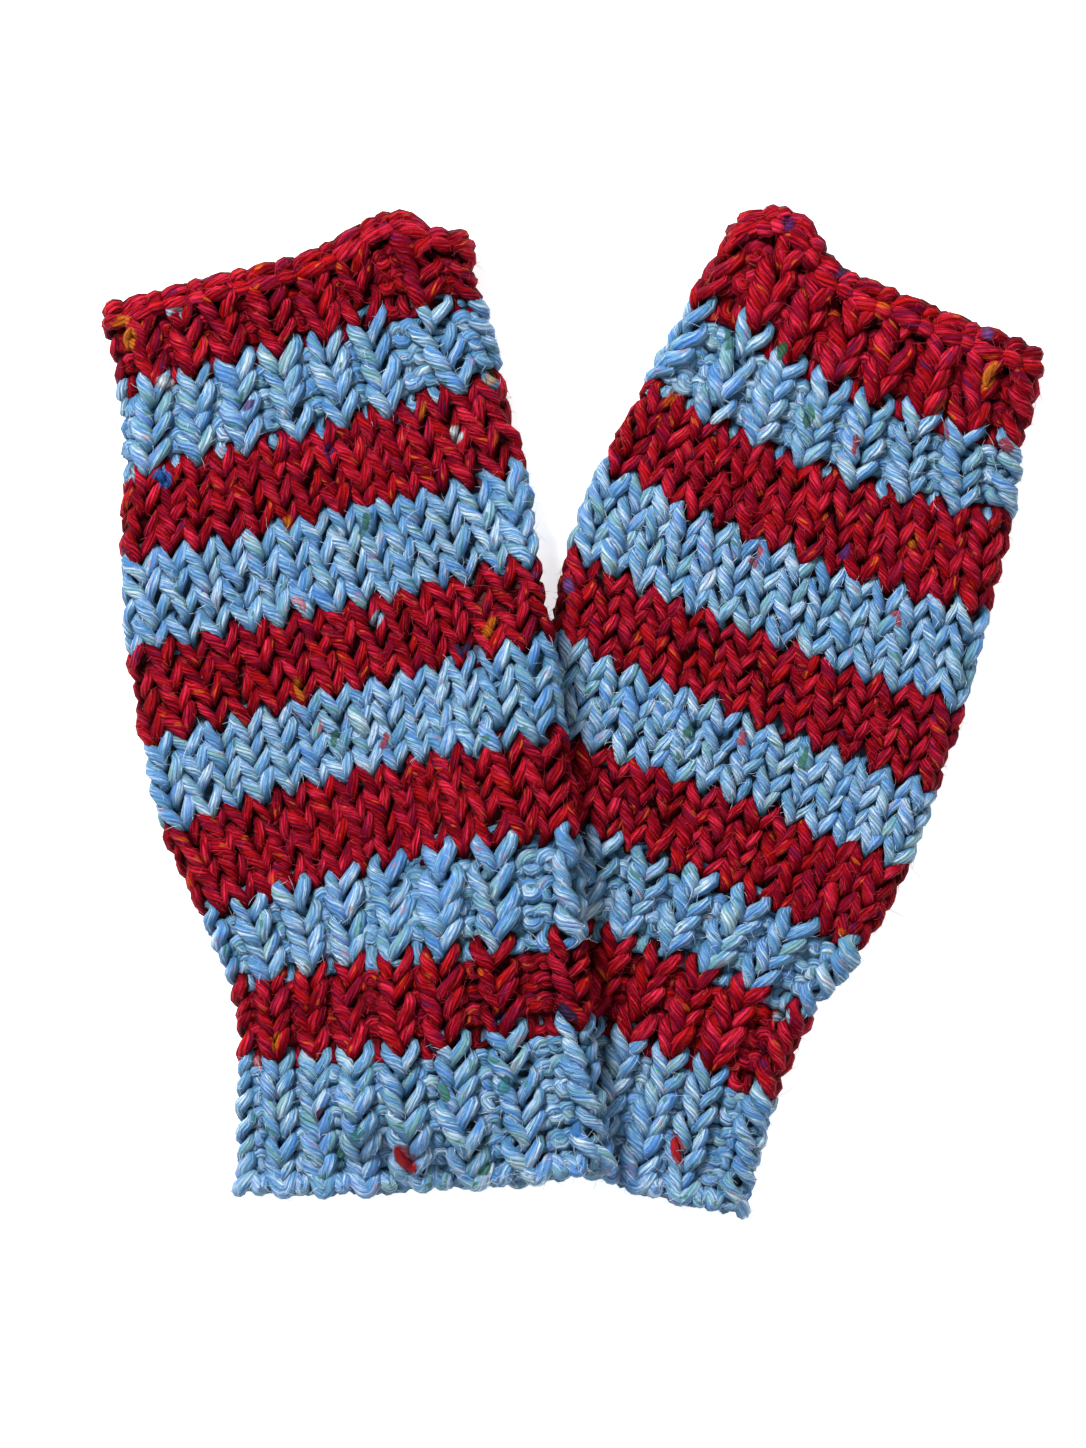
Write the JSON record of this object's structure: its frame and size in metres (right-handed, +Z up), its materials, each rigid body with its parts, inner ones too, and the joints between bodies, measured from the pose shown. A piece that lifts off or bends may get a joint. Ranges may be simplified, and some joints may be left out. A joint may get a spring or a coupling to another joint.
{
  "type": "pair of fingerless mitts",
  "caption": "Hand-knitted tube mitts without fingers or thumbs, striped in red and blue wool with ribbed cuffs, laid flat with the left one over the right one.",
  "frame": {"origin": "on the table below the middle of the pair", "axes": "+Z up from the table, +Y from the cuffs towards the finger ends, +X to the right as seen from above"},
  "size_m": [0.1962, 0.2082, 0.0205],
  "materials": {
    "red_yarn": "matt crimson tweed wool with flecks of orange and purple",
    "blue_yarn": "matt sky-blue heather wool with flecks of green, white and red"
  },
  "bodies": {
    "root": {"left_cuff_low_blue": "blue_yarn", "left_cuff_red": "red_yarn", "left_cuff_high_blue": "blue_yarn", "left_palm_low_red": "red_yarn", "left_palm_low_blue": "blue_yarn", "left_palm_mid_red": "red_yarn", "left_palm_high_blue": "blue_yarn", "left_palm_high_red": "red_yarn", "left_finger_blue": "blue_yarn", "left_finger_red": "red_yarn", "right_cuff_low_blue": "blue_yarn", "right_cuff_red": "red_yarn", "right_cuff_high_blue": "blue_yarn", "right_palm_low_red": "red_yarn", "right_palm_low_blue": "blue_yarn", "right_palm_mid_red": "red_yarn", "right_palm_high_blue": "blue_yarn", "right_palm_high_red": "red_yarn", "right_finger_blue": "blue_yarn", "right_finger_red": "red_yarn"}
  },
  "joints": []
}
